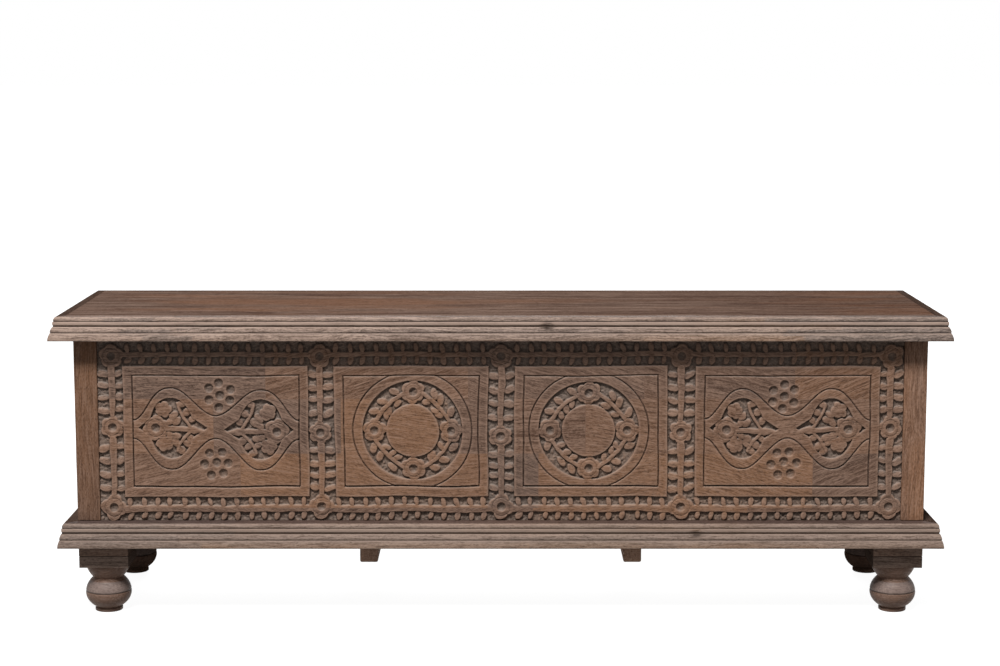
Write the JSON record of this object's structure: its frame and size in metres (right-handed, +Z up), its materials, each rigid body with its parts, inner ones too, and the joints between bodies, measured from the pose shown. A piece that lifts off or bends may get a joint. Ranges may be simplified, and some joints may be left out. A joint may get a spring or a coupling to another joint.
{
  "type": "storage bench chest",
  "caption": "Long low carved wooden storage chest with a hinged planked lid, moulded edges and turned bun feet, used as a bench or blanket box.",
  "frame": {"origin": "on the floor, in the middle of the overall box", "axes": "+X along the chest to its right seen from the front, +Y to the back, +Z up"},
  "size_m": [1.37, 0.3633, 0.47],
  "materials": {
    "lid_wood": "dry brown boards with long streaky grain, low gloss",
    "moulding_wood": "brown moulded edge with greyish worn arrises, low gloss",
    "post_wood": "plain sawn brown wood, low gloss",
    "carved_wood": "hand carved brown wood with dark sunk ground",
    "panel_wood": "plain brown boards, low gloss",
    "inner_wood": "bare unstained boards",
    "foot_wood": "dark brown turned wood, slight sheen",
    "hinge_steel": "dull aged steel",
    "screw_steel": "plain steel"
  },
  "bodies": {
    "chest": {"front_panel": "carved_wood", "back_panel": "panel_wood", "side_panel_left": "panel_wood", "side_panel_right": "panel_wood", "post_front_left": "post_wood", "post_front_right": "post_wood", "post_rear_left": "post_wood", "post_rear_right": "post_wood", "base_moulding_front": "moulding_wood", "base_moulding_left": "moulding_wood", "base_moulding_right": "moulding_wood", "base_rail_rear": "panel_wood", "bottom_board_front": "inner_wood", "bottom_board_middle": "inner_wood", "bottom_board_rear": "inner_wood", "bearer_left": "inner_wood", "bearer_right": "inner_wood", "foot_block_upper_front_left": "foot_wood", "foot_block_upper_front_right": "foot_wood", "foot_block_upper_rear_left": "foot_wood", "foot_block_upper_rear_right": "foot_wood", "foot_block_lower_front_left": "foot_wood", "foot_block_lower_front_right": "foot_wood", "foot_block_lower_rear_left": "foot_wood", "foot_block_lower_rear_right": "foot_wood", "turned_foot_front_left": "foot_wood", "turned_foot_front_right": "foot_wood", "turned_foot_rear_left": "foot_wood", "turned_foot_rear_right": "foot_wood", "hinge_left_body_leaf": "hinge_steel", "hinge_left_pin": "screw_steel", "hinge_left_body_screw_outer": "screw_steel", "hinge_left_body_screw_inner": "screw_steel", "hinge_middle_body_leaf": "hinge_steel", "hinge_middle_pin": "screw_steel", "hinge_middle_body_screw_outer": "screw_steel", "hinge_middle_body_screw_inner": "screw_steel", "hinge_right_body_leaf": "hinge_steel", "hinge_right_pin": "screw_steel", "hinge_right_body_screw_outer": "screw_steel", "hinge_right_body_screw_inner": "screw_steel"},
    "lid": {"lid_board_front": "lid_wood", "lid_board_middle": "lid_wood", "lid_board_rear": "lid_wood", "lid_moulding_front": "moulding_wood", "lid_moulding_left": "moulding_wood", "lid_moulding_right": "moulding_wood", "lid_batten_left": "inner_wood", "lid_batten_right": "inner_wood", "hinge_left_lid_leaf": "hinge_steel", "hinge_left_lid_screw_outer": "screw_steel", "hinge_left_lid_screw_inner": "screw_steel", "hinge_middle_lid_leaf": "hinge_steel", "hinge_middle_lid_screw_outer": "screw_steel", "hinge_middle_lid_screw_inner": "screw_steel", "hinge_right_lid_leaf": "hinge_steel", "hinge_right_lid_screw_outer": "screw_steel", "hinge_right_lid_screw_inner": "screw_steel"}
  },
  "joints": [
    {"name": "lid_hinge", "type": "hinge", "parent": "chest", "child": "lid", "pos_m": [0, 0.17775, 0.44785], "axis": [-1, 0, 0], "range_deg": [0, 95]}
  ]
}
